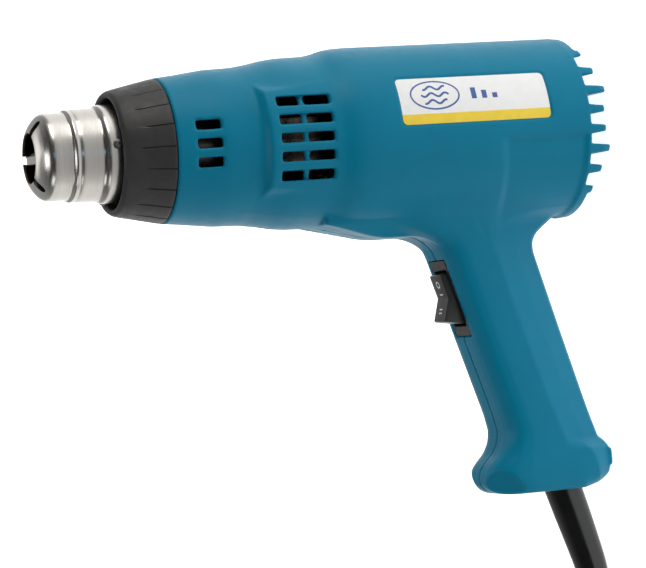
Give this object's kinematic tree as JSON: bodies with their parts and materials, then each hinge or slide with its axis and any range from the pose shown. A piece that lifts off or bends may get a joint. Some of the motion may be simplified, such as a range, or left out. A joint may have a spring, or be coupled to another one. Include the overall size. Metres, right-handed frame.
{
  "type": "heat gun",
  "caption": "Hot-air gun standing on its tail, with ribbed guard, steel nozzle, rocker switch, side grilles and a coiled mains lead.",
  "frame": {"origin": "on the standing plane, midway between the top of the barrel and the end of the handle, on the middle plane between the two housing halves", "axes": "+Z along the barrel from the tail to the nozzle, +X from the handle to the top of the barrel, -Y to the left side with the label"},
  "size_m": [0.3985, 0.1027, 0.2374],
  "materials": {
    "housing_teal": "fine-grained moulded plastic, satin",
    "guard_black": "ribbed heat-resistant plastic",
    "stainless": "turned and polished, slightly heat-tinted",
    "zinc": "zinc-plated",
    "brass": "plain",
    "label": "printed film, white with a yellow band",
    "switch_black": "semi-gloss",
    "ceramic": "fired ceramic, dry",
    "mica": "mica sheet",
    "heat_wire": "oxidised resistance wire",
    "white_plastic": "moulded nylon",
    "circuit_board": "solder-masked laminate",
    "capacitor_blue": "dipped case",
    "wire_brown": "insulated wire",
    "wire_blue": "insulated wire",
    "wire_red": "insulated wire",
    "rubber_black": "smooth rubber, slightly glossy"
  },
  "bodies": {
    "gun": {"air_duct": "white_plastic", "capacitor": "capacitor_blue", "clamp_screw_1": "zinc", "clamp_screw_2": "zinc", "control_board": "circuit_board", "cord_clamp": "white_plastic", "cord_coil": "rubber_black", "cord_inner_end": "rubber_black", "cord_lead": "rubber_black", "cord_sleeve": "rubber_black", "cord_tail": "rubber_black", "cord_tie": "switch_black", "heater_core": "ceramic", "heater_shield": "stainless", "heater_wire": "wire_red", "heating_coil": "heat_wire", "housing_left": "housing_teal", "housing_right": "housing_teal", "housing_screw_1": "zinc", "housing_screw_2": "zinc", "housing_screw_3": "zinc", "housing_screw_4": "zinc", "housing_screw_5": "zinc", "housing_screw_6": "zinc", "live_wire": "wire_brown", "mica_sleeve": "mica", "motor_can": "zinc", "motor_mount": "white_plastic", "neutral_wire": "wire_blue", "nozzle_screw_1": "zinc", "nozzle_screw_2": "zinc", "nozzle_screw_3": "zinc", "nozzle_seat": "ceramic", "nozzle_tube": "stainless", "plug_body": "rubber_black", "plug_pin_1": "brass", "plug_pin_2": "brass", "rating_label": "label", "rectifier": "switch_black", "rocker_pin": "zinc", "switch_body": "switch_black", "switch_terminal_1": "brass", "switch_terminal_2": "brass", "switch_terminal_3": "brass", "thermal_cutout": "brass"},
    "guard": {"nozzle_guard": "guard_black"},
    "rocker": {"switch_rocker": "switch_black"},
    "fan": {"motor_shaft": "stainless", "fan_impeller": "white_plastic"}
  },
  "joints": [
    {"name": "guard_pull_off", "type": "slide", "parent": "gun", "child": "guard", "axis": [0, 0, 1], "range_m": [0, 0.065]},
    {"name": "switch_rocker", "type": "hinge", "parent": "gun", "child": "rocker", "pos_m": [-0.01113, 0, 0.06055], "axis": [0, -1, 0], "range_deg": [0, 32]},
    {"name": "fan_spin", "type": "hinge", "parent": "gun", "child": "fan", "pos_m": [0.0565, 0, 0.0785], "axis": [0, 0, 1], "continuous": true}
  ]
}
